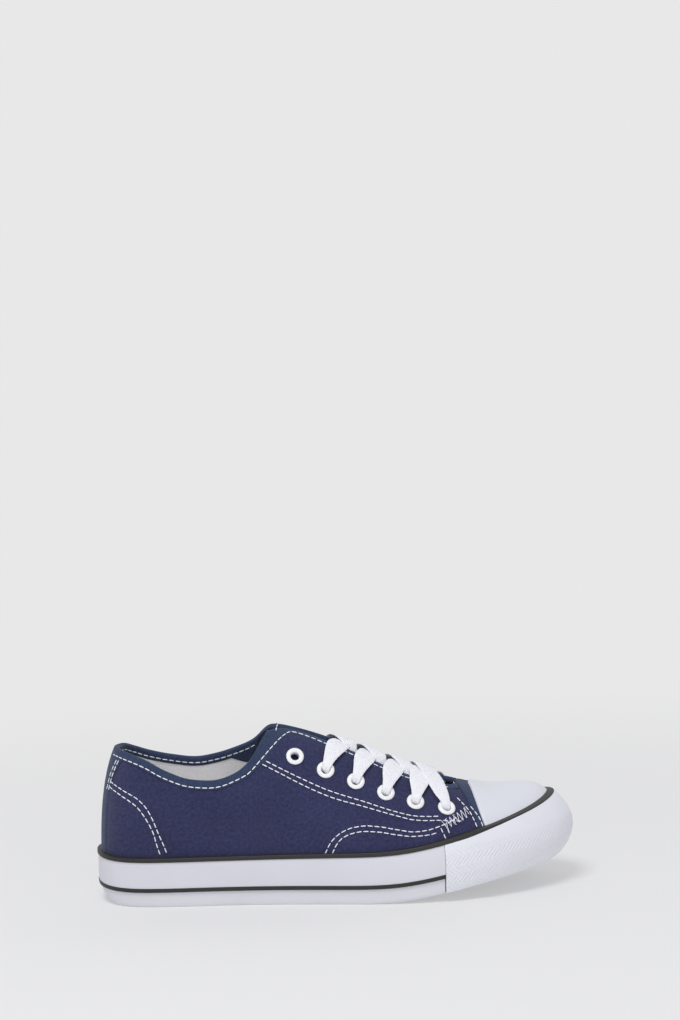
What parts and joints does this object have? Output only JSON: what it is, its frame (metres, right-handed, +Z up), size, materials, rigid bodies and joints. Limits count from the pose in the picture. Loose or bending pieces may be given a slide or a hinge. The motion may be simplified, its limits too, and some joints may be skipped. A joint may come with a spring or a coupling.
{
  "type": "canvas sneaker",
  "caption": "Low lace-up canvas shoe with a rubber sole, toe cap and toe bumper, standing empty on its sole with the laces in place.",
  "frame": {"origin": "middle of the bounding box, on the ground the sole stands on", "axes": "+X from heel to toe, +Y towards the inner side of the foot, +Z up"},
  "size_m": [0.2698, 0.0964, 0.095],
  "materials": {
    "sole_rubber": "satin moulded rubber",
    "foxing_rubber": "satin vulcanised rubber",
    "cap_rubber": "smooth satin rubber",
    "canvas": "plain-weave cotton canvas",
    "lining": "undyed cotton lining",
    "lace": "flat braided cotton",
    "eyelet": "white enamelled brass"
  },
  "bodies": {
    "root": {"outsole": "sole_rubber", "foxing": "foxing_rubber", "toe_bumper": "foxing_rubber", "toe_cap": "cap_rubber", "upper": "canvas", "tongue": "canvas", "insole": "lining", "lace_bar": "lace", "lace_cross_1": "lace", "lace_cross_2": "lace", "lace_cross_3": "lace", "lace_cross_4": "lace", "eyelet_l1": "eyelet", "eyelet_l2": "eyelet", "eyelet_l3": "eyelet", "eyelet_l4": "eyelet", "eyelet_l5": "eyelet", "eyelet_l6": "eyelet", "eyelet_m1": "eyelet", "eyelet_m2": "eyelet", "eyelet_m3": "eyelet", "eyelet_m4": "eyelet", "eyelet_m5": "eyelet", "eyelet_m6": "eyelet"}
  },
  "joints": []
}
